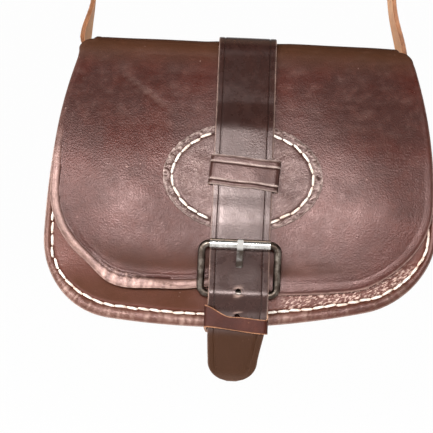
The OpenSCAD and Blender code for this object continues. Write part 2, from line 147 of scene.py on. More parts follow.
def both_sides(half):
    return np.concatenate([half[::-1] * [-1, 1], half[1:]])


def shares(length, fine, coarse, rim):
    """Steps from 0 to 1 that are fine within rim of both ends of a length and coarse between."""
    a = np.arange(0, rim, fine)
    n = max(2, int((length - 2 * rim) / coarse))
    steps = np.concatenate([a, np.linspace(rim, length - rim, n), (length - a)[::-1]])
    return steps / length


def spread(half, corner, us, vs):
    """Grid of points inside an outline whose right half is given, from bottom to top."""
    bottom = line_at(both_sides(half[:corner]), us)
    right = line_at(half[corner - 1:], vs)
    left = right * [-1, 1]
    top = np.stack([np.linspace(left[-1, 0], right[-1, 0], 2), [right[-1, 1]] * 2], 1)
    top = line_at(top, us)
    u, v = us[None, :, None], vs[:, None, None]
    flat = (1 - v) * bottom[None] + v * top[None] + (1 - u) * left[:, None] + u * right[:, None]
    corners = ((1 - u) * (1 - v) * bottom[0] + u * (1 - v) * bottom[-1]
               + (1 - u) * v * top[0] + u * v * top[-1])
    return flat - corners


def edge_distance(points, outline):
    """Distance of each grid point from an outline, and how far along it the nearest place is."""
    p = points.reshape(-1, 2)
    a, b = outline[:-1], outline[1:]
    ab = b - a
    run = np.r_[0, np.cumsum(np.linalg.norm(ab, axis=1))]
    best = np.full(len(p), 1e9)
    along = np.zeros(len(p))
    for i in range(len(a)):
        k = np.clip(((p - a[i]) @ ab[i]) / max(ab[i] @ ab[i], 1e-12), 0, 1)
        d = np.linalg.norm(p - a[i] - k[:, None] * ab[i], axis=1)
        near = d < best
        best[near] = d[near]
        along[near] = run[i] + k[near] * np.linalg.norm(ab[i])
    return best.reshape(points.shape[:2]), along.reshape(points.shape[:2])


# Meshes

def grid(name, rows, columns, place, **marks):
    """A grid primitive whose corners (row, column) are moved to their places; marks are kept on its points."""
    bpy.ops.mesh.primitive_grid_add(x_subdivisions=columns - 1, y_subdivisions=rows - 1, size=2)
    obj = bpy.context.object
    obj.name = obj.data.name = name
    mesh = obj.data
    where = []
    for v in mesh.vertices:
        where.append((round((v.co.y + 1) / 2 * (rows - 1)), round((v.co.x + 1) / 2 * (columns - 1))))
    for v, (r, c) in zip(mesh.vertices, where):
        v.co = place(r, c)
    for mark, values in marks.items():
        layer = mesh.attributes.new(mark, "FLOAT", "POINT")
        layer.data.foreach_set("value", [float(values[r][c]) for r, c in where])
    return obj


def pick(*objects):
    """Makes these the only pieces selected, the first one active."""
    bpy.ops.object.select_all(action="DESELECT")
    bpy.context.view_layer.objects.active = objects[0]
    for obj in objects:
        obj.select_set(True)


def apply(obj, kind, **settings):
    """Adds a modifier with its settings and applies it."""
    pick(obj)
    modifier = obj.modifiers.new(kind.title(), kind)
    for key, value in settings.items():
        setattr(modifier, key, value)
    bpy.ops.object.modifier_apply(modifier=modifier.name)


def thicken(obj, t, *materials):
    """Gives a sheet its thickness behind its face: grain side, flesh side and cut edge."""
    for m in materials:
        obj.data.materials.append(m)
    apply(obj, "SOLIDIFY", thickness=t / 1000, offset=-1, material_offset=1, material_offset_rim=2)


def soften(obj, angle=45, round_edge=0.0):
    """Rounds sharp edges a little and shades the rest smooth."""
    if round_edge:
        apply(obj, "BEVEL", width=round_edge / 1000, segments=2, limit_method="ANGLE", angle_limit=math.radians(60))
    pick(obj)
    bpy.ops.object.shade_smooth_by_angle(angle=math.radians(angle))
    return obj


def join(name, parts):
    pick(*parts)
    bpy.ops.object.join()
    obj = bpy.context.object
    obj.name = obj.data.name = name
    return obj


# Materials

def linear(colour):
    """Linear colour of an sRGB hex value."""
    c = [int(colour[i:i + 2], 16) / 255 for i in (1, 3, 5)]
    return tuple(v / 12.92 if v <= 0.04045 else ((v + 0.055) / 1.055) ** 2.4 for v in c) + (1.0,)


def feed(tree, node, inputs):
    """Sets a node's inputs: each is a value, or the socket it is linked from."""
    for key, value in inputs.items():
        if isinstance(value, bpy.types.NodeSocket):
            tree.links.new(value, node.inputs[key])
        else:
            node.inputs[key].default_value = value


def add(tree, kind, inputs, **settings):
    """Adds a node with its settings and inputs."""
    node = tree.nodes.new("ShaderNode" + kind)
    for key, value in settings.items():
        setattr(node, key, value)
    feed(tree, node, inputs)
    return node


def start(name):
    """A new material, its node tree, its shader and the place on the piece in metres."""
    material = bpy.data.materials.new(name)
    material.use_nodes = True
    tree = material.node_tree
    return material, tree, tree.nodes["Principled BSDF"], add(tree, "TexCoord", {}).outputs["Object"]


def per_mm(size):
    """Scale of a pattern whose features are that many millimetres across."""
    return 1000 / size


def lumps(tree, at, size, detail, rough=0.5, distortion=0.0):
    """Noise with lumps of that many millimetres."""
    return add(tree, "TexNoise", {"Vector": at, "Scale": per_mm(size), "Detail": detail, "Roughness": rough,
                                  "Distortion": distortion}).outputs["Fac"]


def stretched(tree, at, scale):
    return add(tree, "Mapping", {"Vector": at, "Scale": scale}).outputs[0]


def point_mark(tree, name):
    return add(tree, "Attribute", {}, attribute_name=name).outputs["Fac"]


def span(tree, value, low, high, to_low=0.0, to_high=1.0):
    """Where a value lies between low and high, drawn between to_low and to_high."""
    return add(tree, "MapRange", {"Value": value, "From Min": low, "From Max": high, "To Min": to_low,
                                  "To Max": to_high}).outputs[0]


def sums(tree, operation, *values, **settings):
    return add(tree, "Math", dict(enumerate(values)), operation=operation, **settings).outputs[0]


def mixed(tree, share, first, second):
    """Colour at a share of the way between two, each a hex value or the socket it comes from."""
    first, second = (linear(c) if isinstance(c, str) else c for c in (first, second))
    return add(tree, "Mix", {0: share, 6: first, 7: second}, data_type="RGBA").outputs[2]


def bumps(tree, height, strength, depth):
    """Relief that looks that many millimetres deep."""
    return add(tree, "Bump", {"Height": height, "Strength": strength, "Distance": depth / 1000}).outputs[0]


def oiled_leather(name, dark, base, light, worn, rough, grain=1.1, relief=0.22, ior=1.5, tint="#ffd6d1"):
    """Oiled full-grain cowhide, dyed by hand: cloudy colour that goes pale where it is pulled or where it rubs,
    a pebbled grain, fine creases that run across and a soft waxy gloss. The grain of 0.8 mm is drawn
    coarser so that it shows. The marks on a piece: worn pales its scuffed edges and paints
    highlights on ridges and crests, deep paints shade into its folds, grooves and hollows, dry gives where
    it has gone dull, and wrinkle_glints paints small bright glints on its wrinkles."""
    material, tree, shader, at = start(name)
    broad = lumps(tree, at, 42, 4.0, 0.6)
    mottle = lumps(tree, at, 7, 6.0, 0.68)
    lines = lumps(tree, stretched(tree, at, (0.22, 1, 1)), 2.6, 5.0, 0.62, 0.6)
    specks = lumps(tree, at, 3.2, 2.0)
    fold = lumps(tree, at, 13, 3.0, 0.55, 0.8)
    pebble = add(tree, "TexVoronoi", {"Vector": at, "Scale": per_mm(grain), "Smoothness": 0.6}, feature="SMOOTH_F1")
    slanted = add(tree, "Mapping", {"Vector": at, "Rotation": (0, math.radians(-28), 0), "Scale": (2.6, 1, 1)},
                  vector_type="TEXTURE").outputs[0]
    strokes = span(tree, lumps(tree, slanted, 1.15, 2.0, 0.5, 0.4), 0.5, 0.63)
    # Painted glints: fine bright strokes on small wrinkles where a piece is marked for them; they also add relief.
    wrinkles = sums(tree, "MULTIPLY", strokes, point_mark(tree, "wrinkle_glints"))
    # Paler colour from real wear and from painted highlights and glints on ridges, crests and wrinkles.
    wear_and_glints = sums(tree, "MULTIPLY", point_mark(tree, "worn"), span(tree, mottle, 0.3, 0.62, 0.35), use_clamp=True)
    wear_and_glints = sums(tree, "MAXIMUM", wear_and_glints, wrinkles)
    dry = point_mark(tree, "dry")

    colour = mixed(tree, span(tree, broad, 0.4, 0.62), dark, base)
    colour = mixed(tree, span(tree, mottle, 0.48, 0.8, 0.0, 0.5), colour, light)
    colour = mixed(tree, span(tree, lines, 0.44, 0.3, 0.0, 0.4), colour, dark)
    colour = mixed(tree, span(tree, specks, 0.73, 0.79, 0.0, 0.3), colour, worn)
    colour = mixed(tree, wear_and_glints, colour, worn)
    # Painted shade in folds, grooves and hollows.
    colour = mixed(tree, point_mark(tree, "deep"), colour, "#1d0f0b")
    colour = mixed(tree, sums(tree, "MULTIPLY", dry, 0.65), colour, "#452c1b")

    gloss = span(tree, mottle, 0.3, 0.7, rough - 0.04, rough + 0.06)
    gloss = sums(tree, "MULTIPLY_ADD", wear_and_glints, -0.1, gloss)
    gloss = sums(tree, "ADD", span(tree, broad, 0.35, 0.65, 0.06, -0.06), gloss)
    gloss = sums(tree, "MULTIPLY_ADD", dry, 0.3, gloss)

    height = sums(tree, "MULTIPLY_ADD", fold, 0.12, pebble.outputs["Distance"])
    height = sums(tree, "MULTIPLY_ADD", lines, 0.2, height)
    height = sums(tree, "MULTIPLY_ADD", wrinkles, 1.6, height)
    feed(tree, shader, {
        "Base Color": colour, "Roughness": gloss, "Specular IOR Level": span(tree, dry, 0.0, 1.0, 0.5, 0.12),
        "Normal": bumps(tree, height, relief, 0.5), "IOR": ior, "Specular Tint": linear(tint)})
    return material


def flesh_side(name, base, light):
    """Flesh side of vegetable-tanned leather: short matted fibre, matt and a little cloudy."""
    material, tree, shader, at = start(name)
    nap = lumps(tree, stretched(tree, at, (1, 1, 0.35)), 2.4, 6.0, 0.7)
    cloudy = sums(tree, "MULTIPLY_ADD", nap, 0.6, lumps(tree, at, 24, 3.0))
    feed(tree, shader, {
        "Base Color": mixed(tree, span(tree, cloudy, 0.55, 1.05), base, light),
        "Normal": bumps(tree, nap, 0.5, 0.7), "Roughness": 0.88, "Sheen Weight": 0.15})
    return material


def cut_edge(name, base, light):
    """Cut edge of thick leather: pale fibre in layers, rubbed smooth in places."""
    material, tree, shader, at = start(name)
    fibre = lumps(tree, at, 1.6, 5.0, 0.75)
    cloudy = sums(tree, "MULTIPLY_ADD", fibre, 0.5, lumps(tree, at, 9, 3.0))
    feed(tree, shader, {
        "Base Color": mixed(tree, span(tree, cloudy, 0.5, 0.95), base, light),
        "Normal": bumps(tree, fibre, 0.4, 0.5), "Roughness": 0.62})
    return material


def waxed_thread(name):
    """Waxed linen thread: twisted strands that catch the light, a little soiled. The twist is drawn coarse."""
    material, tree, shader, at = start(name)
    twist = add(tree, "TexWave", {"Vector": at, "Scale": per_mm(5.5), "Distortion": 1.5, "Detail": 2.0},
                bands_direction="DIAGONAL")
    soil = span(tree, lumps(tree, at, 11, 4.0), 0.4, 0.72)
    feed(tree, shader, {
        "Base Color": mixed(tree, soil, "#f9efe4", "#e2c3af"),
        "Normal": bumps(tree, twist.outputs["Fac"], 0.5, 0.3), "Roughness": 0.5})
    return material


def worn_steel(name, dark, bright, rough, low, high, rubbed_above=None):
    """Nickel-plated steel: plating that has tarnished, with bright places where the strap rubs it and fine
    scratches. Above a given height it is bright all over from rubbing."""
    material, tree, shader, at = start(name)
    tarnish = lumps(tree, at, 6, 6.0, 0.7)
    scratch = lumps(tree, stretched(tree, at, (0.12, 1, 1)), 1.2, 3.0)
    share = span(tree, tarnish, low, high)
    if rubbed_above:
        place = add(tree, "SeparateXYZ", {"Vector": at})
        share = sums(tree, "MAXIMUM", share, span(tree, place.outputs["Z"], rubbed_above, rubbed_above + 0.002))
    feed(tree, shader, {
        "Base Color": mixed(tree, share, dark, bright), "Metallic": 1.0,
        "Roughness": span(tree, tarnish, 0.3, 0.7, rough + 0.12, rough - 0.05),
        "Normal": bumps(tree, scratch, 0.15, 0.3)})
    return material


hide = oiled_leather("oiled_cowhide", "#31150f", "#421d16", "#512b22", "#cba89c", 0.33, relief=0.18, tint="#ffd9d4")
body_hide = oiled_leather("oiled_cowhide_body", "#47200f", "#542b21", "#693c32", "#e4c4b5", 0.37)
strap_hide = oiled_leather("glazed_bridle_leather", "#291612", "#311b16", "#3b231d", "#b79a8e", 0.25, relief=0.07,
                           tint="#ffe9e5")
red_hide = oiled_leather("red_brown_cowhide", "#32130b", "#461f14", "#592e20", "#d69c76", 0.5, ior=1.38)
patch_hide = oiled_leather("soft_cowhide_patch", "#331c18", "#432923", "#573d36", "#dfc8be", 0.31, relief=0.14,
                           ior=1.44, tint="#ffdfda")
wall_hide = oiled_leather("oiled_cowhide_gusset", "#3c2019", "#553125", "#6d4638", "#a87c66", 0.48)
tan_flesh = flesh_side("tan_flesh_side", "#bd7f50", "#d39d6c")
brown_flesh = flesh_side("brown_flesh_side", "#5c3a2a", "#84604b")
tan_edge = cut_edge("tan_cut_edge", "#74492f", "#a87450")
pale_edge = cut_edge("cut_leather_edge", "#8a5a44", "#d3ab90")
thread = waxed_thread("waxed_linen_thread")
dark_steel = worn_steel("antique_nickel", "#463b34", "#948a80", 0.34, 0.45, 0.72)
prong_steel = worn_steel("antique_nickel_rubbed_tip", "#4f453e", "#dedad5", 0.3, 0.45, 0.9, rubbed_above=-0.5815)
bright_steel = worn_steel("polished_nickel", "#a8a39d", "#e6e3df", 0.2, 0.32, 0.55)


# Hide: flap and crown

def flap_puff(x, s):
    """How far the flap stands out over the full bag, beside the strap that holds it in."""
    return 4.6 * ease(28, 88, abs(x)) * (1 - 0.55 * ease(92, 131, abs(x))) * ease(98, 0, abs(s - 86))


def lean_back(t):
    """The hide does not fold sharply: from the middle of the flap it leans back towards the crown."""
    if t < T_FRONT:
        return -5.5 * max(0.0, (t - 112) / (T_FRONT - 112)) ** 2
    h = T_TOP + 2 - T_FRONT
    k = min((t - T_FRONT) / h, 1.0)
    return -5.5 * (2 * k ** 3 - 3 * k * k + 1) - 0.15 * h * (k ** 3 - 2 * k * k + k)


def droop(x, t):
    """How far the flap's lower edge hangs below the middle of it, beside the buckle."""
    lip = 4.0 * ease(-106, -88, x) * (1 - ease(-84, -44, x)) * (1 - ease(30, 54, t))
    near = ease(16, 24, x) if x > 0 else ease(8, 50, -x)
    return lip + 5.0 * near * (1 - ease(72, 116, abs(x))) * (1 - ease(27, 82, t))


def from_line(x, s, a, b):
    """Distance from a line between two points, and the share of the way along it."""
    ab = (b[0] - a[0], b[1] - a[1])
    k = ((x - a[0]) * ab[0] + (s - a[1]) * ab[1]) / (ab[0] ** 2 + ab[1] ** 2)
    k = min(max(k, 0.0), 1.0)
    return math.hypot(x - a[0] - k * ab[0], s - a[1] - k * ab[1]), k


def curled_lip(x, s, d):
    """The lower left edge of the flap has curled outwards."""
    wide = 9 - 6.8 * ease(-76, -38, x)
    return ease(-103, -90, x) * (1 - ease(-40, -16, x)) * ease(wide, 0.78 * wide, d) * (1 if s < 75 else 0)


def flap_form(x, t, d, run):
    """The flap's relief, and its marks: soft lumps, slanting folds, the curled lip and the rolled left edge,
    with painted highlights on the ridge and the crests of the lip's wrinkles and painted shade in its grooves,
    folds and hollows.
    """
    free = ease(19, 30, abs(x))
    out = flap_puff(x, t) + lean_back(t) + free * (0.45 * cloud(x, t, 36, 1.7) + 0.9 * cloud(x, t, 75, 5.2))
    lip = curled_lip(x, t, d)
    wrinkle = cloud(run, d * 0.15, 3.2, 4.0) + 0.7 * cloud(run, d * 0.25, 1.7, 2.0)
    out += lip * (0.6 + 0.12 * (8.6 - d) + 0.42 * wrinkle)
    high = ease(96, 150, t)
    folds = 0.4 * crease(x, t, 70, 4.5, 3.1, 0.16) * high + 0.3 * crease(x, t, 46, 5, 9.4, 0.12)
    slant, k = from_line(x, t, (-92, 176), (-46, 143))
    folds += 1.6 * max(0.0, 1 - slant / 2.2) * math.sin(math.pi * min(max(k, 0.05), 0.95))
    out -= 0.24 * free * folds
    wide = 6.2 - 2.4 * high
    rolled = ease(20, -30, x)
    ridge = math.sin(math.pi * d / wide) if d < wide else 0.0
    ridge *= (1 - 0.75 * high) * (0.15 + 0.85 * rolled)
    grooves = math.exp(-((d - wide - 0.4) / 0.55) ** 2) + 0.6 * math.exp(-((d - wide - 2.2) / 0.5) ** 2)
    grooves *= (1 - 0.7 * high) * (0.2 + 0.8 * rolled)
    out += 0.8 * ridge * (1 - lip) - 0.5 * grooves - 0.5 * (1 - rolled) * max(0.0, 1 - d / 2.5) ** 2
    out -= 0.5 * max(0.0, 1 - d / 0.9)
    # Wear at the cut edge; along the rolled ridge, wear and a painted highlight.
    worn = (0.7 - 0.5 * high) * max(0.0, 1 - d / 1.3) + (0.08 + 0.5 * (1 - high) * rolled) * ridge
    # Where the painted glints on the lip's wrinkles are strongest.
    wear_and_glints = math.exp(-((x + 74) / 17) ** 2)
    # Painted glints on the crests of the lip's wrinkles, and paler folds.
    worn += lip * (0.04 + (0.35 + 0.95 * wear_and_glints) * max(0.0, wrinkle)) + 0.1 * folds
    # Painted shade in the grooves, the folds and the hollows of the lip's wrinkles.
    deep = min(0.75, 0.6 * grooves + 0.16 * free * folds + 0.8 * lip * max(0.0, -wrinkle))
    dry = ease(172, 196, t) * (1 - 0.1 * ease(200, 211, t))
    dry += 0.8 * (1 - ease(38, 62, t + 0.12 * max(0.0, x))) * ease(wide + 2, wide + 9, d)
    # Painted glints on the lip's wrinkles and on the rolled ridge.
    wrinkle_glints = (0.12 + 0.3 * wear_and_glints) * lip + 0.3 * ridge * rolled * (1 - high)
    return out, min(worn, 1.0), deep, dry, wrinkle_glints


MARKS = ("worn", "deep", "dry", "wrinkle_glints")


def sheet_of_hide(name, half, corner, us, vs, form, put):
    """A sheet inside an outline, shaped by form and put in its place."""
    points = spread(half, corner, us, vs)
    d, run = edge_distance(points, both_sides(half))
    shaped = np.array([[form(x, v, d[r, c], run[r, c]) for c, (x, v) in enumerate(row)]
                       for r, row in enumerate(points)])
    return grid(name, len(vs), len(us), lambda r, c: put(points[r, c, 0], points[r, c, 1], shaped[r, c, 0]),
                **{mark: shaped[:, :, i] for i, mark in enumerate(MARKS[:shaped.shape[2] - 1], 1)})


def shoulder(half, low, high, top):
    """An outline's side drawn in from low to high to the crown's width, then straight up to top."""
    k = np.linspace(0.04, 1, 16)
    s = np.r_[low + (high - low) * k, np.linspace(high, top, 20)[1:]]
    x = np.r_[CROWN_HALF + (half[-1, 0] - CROWN_HALF) * np.sqrt(1 - k * k), [CROWN_HALF] * 19]
    return np.concatenate([half, np.stack([x, s], 1)])


def flap_place(x, t, out):
    """The flap's left corner at the fold has spread more than the right one."""
    spread_out = 2.0 * ease(70, 104, -x) * ease(180, 194, t) * (1 - ease(200, 208, t))
    return over(x - spread_out, t - droop(x, t), out)


flap_half, flap_corner = pouch(260, 600, 58, 340, 27, 188)
flap_half = shoulder(flap_half, 188, 201, T_SPLIT)
flap = sheet_of_hide("flap", flap_half, flap_corner, shares(246, 0.9, 1.4, 14), shares(188, 0.9, 2.6, 20),
                     flap_form, flap_place)
thicken(flap, LEATHER_T, hide, brown_flesh, pale_edge)
soften(flap, 50, 0.45)


# Back, front panel and gusset

def settle(x, s, share=1.0):
    """Where a point of the front has gone in use: the bottom hangs lower on the left than on the right,
    and the top corners are drawn in under the flap."""
    sag = (0.043 if x < 0 else 0.08) * x * (1 - ease(8, 125, s))
    return x * (1 - 0.042 * share * share * ease(150, 180, s)), s + sag * (0.5 + 0.5 * share)


def sewn_in(s):
    """How far inside the front panel's edge its seam runs: further at the bottom."""
    return SEAM_IN + 3.2 * (1 - ease(10, 48, s))


def settled(x, s, out):
    return front(*settle(x, s), out)


def back_form(x, v, d, run):
    """The back's relief, and its marks: nearly flat, with a sewn border whose groove gets painted shade, and dull
    over the crown.
    """
    out = 0.35 * cloud(x, v, 34, 5.2) - 0.35 - 0.1 * crease(x, v, 42, 9, 6.6, 0.12)
    if v < 172:
        groove = math.exp(-((d - SEAM_IN) / 0.9) ** 2)
        out += 0.3 * (math.sin(math.pi * d / 4.4) if d < 4.4 else 0.0) - 0.9 * groove
    else:
        groove = 0.5 * math.exp(-((d - 5.3) / 0.6) ** 2)
        out -= 0.5 * groove
    out -= 0.6 * max(0.0, 1 - d / 1.1)
    return out, 0.7 * max(0.0, 1 - d / 1.4), 0.4 * groove, 0.9 * ease(170, 184, v)


back_half, back_corner = pouch(*BODY, 0, 166)
back_half = shoulder(back_half, 166, 182, T_END - T_SPLIT)
back = sheet_of_hide("back_panel", back_half, back_corner, shares(250, 1.0, 3.4, 12), shares(214, 1.0, 3.4, 12),
                     back_form, lambda x, v, out: over(-x, T_END - settle(-x, v, 0)[1], out))
thicken(back, LEATHER_T, hide, brown_flesh, pale_edge)
soften(back, 50, 0.45)


def panel_form(x, s, d, run):
    """The front panel's relief, and its marks: full under the flap, wrinkled at the lower right, and with a
    raw border that puckers along the seam. Its wrinkles and the crests of the puckers get painted glints,
    and its groove, folds and pucker hollows painted shade."""
    beside = ease(24, 34, abs(x))
    out = 0.8 * flap_puff(x, s) * ease(26, 44, s) - 0.45 * ease(18, 28, s) + lean_back(min(s, T_FRONT - 1))
    out += 0.7 * beside * (1 - ease(12, 22, s)) * ease(6, 13, d)
    sewn = sewn_in(s)
    wrinkled = ease(26, 36, x) * (1 - ease(20, 34, s - 0.18 * max(0.0, x - 60))) * ease(sewn, sewn + 2, d)
    folds = min(1.0, crease(x + 0.6 * s, s, 5, 2.4, 7.3, 0.4) + 0.8 * crease(x - 0.5 * s, s, 4, 2.4, 2.2, 0.35))
    out -= 0.4 * wrinkled * folds
    out += beside * 0.35 * cloud(x, s, 18, 8.1)
    bead = math.sin(math.pi * d / (sewn - 0.8)) if d < sewn - 0.8 else 0.0
    puckered = 1 - ease(20, 70, s)
    pucker = cloud(run, 0, 1.7, 3.3) + 0.6 * cloud(run, d, 4.5, 5.5)
    out += bead * (1.0 + 0.55 * puckered * pucker)
    groove = math.exp(-((d - sewn) / 0.9) ** 2)
    out -= 1.15 * groove + 0.9 * max(0.0, 1 - d / 1.2)
    # Painted glints on the crests of the puckers.
    ragged = max(0.0, pucker) * puckered * bead
    right = ease(20, 80, x)
    # Wear at the cut edge and on the bead, with the painted glints on the puckers.
    worn = 0.55 * max(0.0, 1 - d / 1.2) + (0.12 - 0.1 * right) * bead + (0.6 - 0.3 * right) * ragged
    # Painted shade in the hollows of the puckers, and a darker border towards the right.
    shade_and_dark_right = 0.4 * puckered * max(0.0, -pucker) + 0.35 * right
    # Painted shade in the groove, the folds and on the bead.
    deep = min(0.8, 0.35 * groove + 0.2 * wrinkled * folds + bead * shade_and_dark_right)
    dry = 0.8 * ease(0, -40, x) * ease(sewn + 1, sewn + 4, d) * (1 - ease(26, 44, s))
    # The last mark paints glints on the wrinkles.
    return out, min(worn, 1.0), deep, dry, 0.75 * wrinkled


body_half, body_corner = pouch(*BODY, 0, 182)
panel = sheet_of_hide("front_panel", body_half, body_corner, shares(250, 0.9, 1.3, 30), shares(182, 0.8, 2.8, 30),
                      panel_form, settled)
thicken(panel, LEATHER_T, body_hide, brown_flesh, pale_edge)
soften(panel, 50, 0.4)

# The gusset's rows go from the back seam's flange, across the wall, to the front seam's flange. Each has its
# distance inside the outline and its share of the way to the back.
WALL_RUN = 560
wall_steps = [(0.7, 1), (3, 1), (5.5, 1), (7, 1), (7.8, 0.985)]
wall_steps += [(8, k) for k in np.linspace(0.955, 0.045, 15)]
wall_steps += [(7.8, 0.015), (7, 0), (5.5, 0), (3, 0), (0.7, 0)]
wall_runs = np.linspace(0, 1, 181)
wall_lines = {d: line_at(both_sides(pouch(*BODY, 0, 181, d)[0]), wall_runs) for d in {s[0] for s in wall_steps}}


def wall_fold(run, k):
    return math.sin(math.pi * k) * crease(run, 60 * k, 13, 60, 4.4, 0.2)


def wall_place(row, column):
    """The wall sags inwards between its flanges, with soft dents and folds across it."""
    d, k = wall_steps[row]
    x, v = wall_lines[d][column]
    x, v = settle(x, v, 1 - k)
    p = front(x, v, -5.5).lerp(bag(x, -5.5, v * COS), k)
    run = wall_runs[column] * WALL_RUN
    middle = math.sin(math.pi * k)
    dent = middle * (1.6 * cloud(run, 40 * k, 34, 2.6) + 0.8 * cloud(run, 60 * k, 12, 7.7) - 0.6)
    dent -= wall_fold(run, k)
    towards = Vector((-x, 0, 95 - v)).normalized()
    return p - towards * dent / 1000


wall_folds = [[wall_fold(r * WALL_RUN, k) for r in wall_runs] for _, k in wall_steps]
wall_worn = [[0.8 * (d < 1) + 0.2 * f for f in folds] for (d, _), folds in zip(wall_steps, wall_folds)]
# Painted shade in the folds.
wall_deep = [[0.4 * f for f in folds] for folds in wall_folds]
gusset = grid("gusset", len(wall_steps), len(wall_runs), wall_place, worn=wall_worn, deep=wall_deep)
thicken(gusset, GUSSET_T, wall_hide, brown_flesh, pale_edge)
soften(gusset, 50)


# Straps

def rounded(points, radii, n=7):
    """A line of points with each inner corner rounded to its own radius."""
    line = [np.array(points[0], float)]
    for i, r in enumerate(radii, 1):
        b = np.array(points[i], float)
        u, v = np.array(points[i - 1]) - b, np.array(points[i + 1]) - b
        u, v = u / np.linalg.norm(u), v / np.linalg.norm(v)
        half = math.acos(u @ v) / 2
        reach = r / math.tan(half)
        middle = b + (u + v) / np.linalg.norm(u + v) * r / math.sin(half)
        p, q = b + u * reach - middle, b + v * reach - middle
        a0, a1 = math.atan2(p[1], p[0]), math.atan2(q[1], q[0])
        turn = (a1 - a0 + 3 * math.pi) % (2 * math.pi) - math.pi
        line += [middle + r * np.array([math.cos(a0 + turn * k), math.sin(a0 + turn * k)])
                 for k in np.linspace(0, 1, n)]
    return np.array(line + [np.array(points[-1], float)])


def even(path, step):
    """The path's points again at even steps, with the left-hand direction at each."""
    length = np.linalg.norm(np.diff(path, axis=0), axis=1).sum()
    p = line_at(path, np.linspace(0, 1, int(length / step) + 1))
    ahead = np.gradient(p, axis=0)
    ahead /= np.linalg.norm(ahead, axis=1)[:, None]
    return p, np.stack([-ahead[:, 1], ahead[:, 0]], 1)


def crown_point(t, out):
    p = over(0, t, out) * 1000
    return [p.y - MID_Y, p.z + BASE_Z]


def front_line(points):
    return [[s * SIN - w * COS - DEPTH, s * COS + w * SIN] for s, w in points]


# The closure strap runs from the crown down the flap, through the keeper on the patch, under the roller,
# over the heel bar and through the lower keeper
strap_line = [crown_point(t, 1.7 + lean_back(t)) for t in np.linspace(T_BACK_BEND, 158, 40)]
strap_line += front_line(rounded(
    [(157, 5.2 + lean_back(157)), (152, 5.2 + lean_back(152)), (136.5, 7.0), (88, 7.4), (80, 7.8), (70, 7.75),
     (55, 7.1), (20.47, 13.4), (12, 9.0), (-3, 8.2), (-35.6, 5.4)],
    [20, 30, 25, 25, 40, 9, 9, 9, 30]))
STRAP_STEP = 1.3
strap_points, strap_out = even(np.array(strap_line), STRAP_STEP)
across = np.r_[0, 4, 8, 12, 14.6, 15.1, 15.5, 15.9, 16.4, 16.8, 17.2, 17.7, 18.6, 19.3, 19.75, 20] / 20
across = np.r_[-across[:0:-1], across]
PRONG_SLOT, HOLES = 42.6, (23.4, 6.9)


def strap_height(row):
    y, z = strap_points[row]
    return (y + DEPTH) * SIN + z * COS


def strap_form(row, column):
    """Place and marks of a point of the closure strap: a line along its edges with painted shade in it,
    pale cut edges and hole rims, and a round, dull tail.
    """
    u = across[column]
    run = row * STRAP_STEP
    left = (len(strap_points) - 1 - row) * STRAP_STEP
    half = np.interp(left, [0, 14, 30, 48], [16.3, 16.5, 18.7, 20])
    if left < 14:
        half *= (1 - (1 - (left + 0.2) / 14.2) ** 2.3) ** 0.5
    x = u * half
    x += 0.35 * cloud(run, u * 3, 40, 2.2) - 1.8 * (1 - ease(10, 45, left))
    rim = min(half * (1 - abs(u)), left + 0.1)
    lines = math.exp(-((rim - 4.3) / 0.42) ** 2)
    out = 1.5 - 0.42 * lines - 0.4 * max(0.0, 1 - rim / 0.8) ** 2 + 0.1 * cloud(x, run, 14, 6.1)
    s = strap_height(row)
    on_front = run > 60
    ring = max(math.exp(-((math.hypot(x, s - h) - 2.6) / 0.9) ** 2) for h in HOLES) if on_front else 0.0
    worn = 0.8 * max(0.0, 1 - rim / 0.8) + 0.9 * ring + 0.25 * max(0.0, 1 - left / 6)
    p = strap_points[row] + strap_out[row] * -out
    dry = 1 - ease(-7, 1, s) if on_front else 0.0
    return bag(x, p[0], p[1]), min(worn, 1.0), min(0.8, 0.7 * lines * (1 - 0.6 * dry)), dry


strap_shape = [[strap_form(r, c) for c in range(len(across))] for r in range(len(strap_points) - 1, -1, -1)]
strap = grid("closure_strap", len(strap_shape), len(across), lambda r, c: strap_shape[r][c][0],
             **{mark: [[p[i] for p in row] for row in strap_shape] for i, mark in enumerate(MARKS[:3], 1)})
thicken(strap, LEATHER_T, strap_hide, brown_flesh, pale_edge)


def punch(obj, s, length, width):
    """Cuts a round or long hole straight through a piece on the front."""
    bpy.ops.mesh.primitive_cylinder_add(vertices=24, radius=width / 2000, depth=0.03)
    tool = bpy.context.object
    for v in tool.data.vertices:
        v.co.y += math.copysign(length / 2000, v.co.y) if abs(v.co.y) > 1e-6 else 0
    tool.matrix_world = Matrix.Translation(front(0, s, 9)) @ Matrix.Rotation(math.pi / 2 - SLOPE, 4, "X")
    tool.data.materials.append(pale_edge)
    bpy.context.view_layer.update()
    apply(obj, "BOOLEAN", operation="DIFFERENCE", object=tool, solver="EXACT")
    bpy.data.objects.remove(tool)


punch(strap, PRONG_SLOT, 1.6, 4.8)
for hole in HOLES:
    punch(strap, hole, 0, 4)
soften(strap, 40)

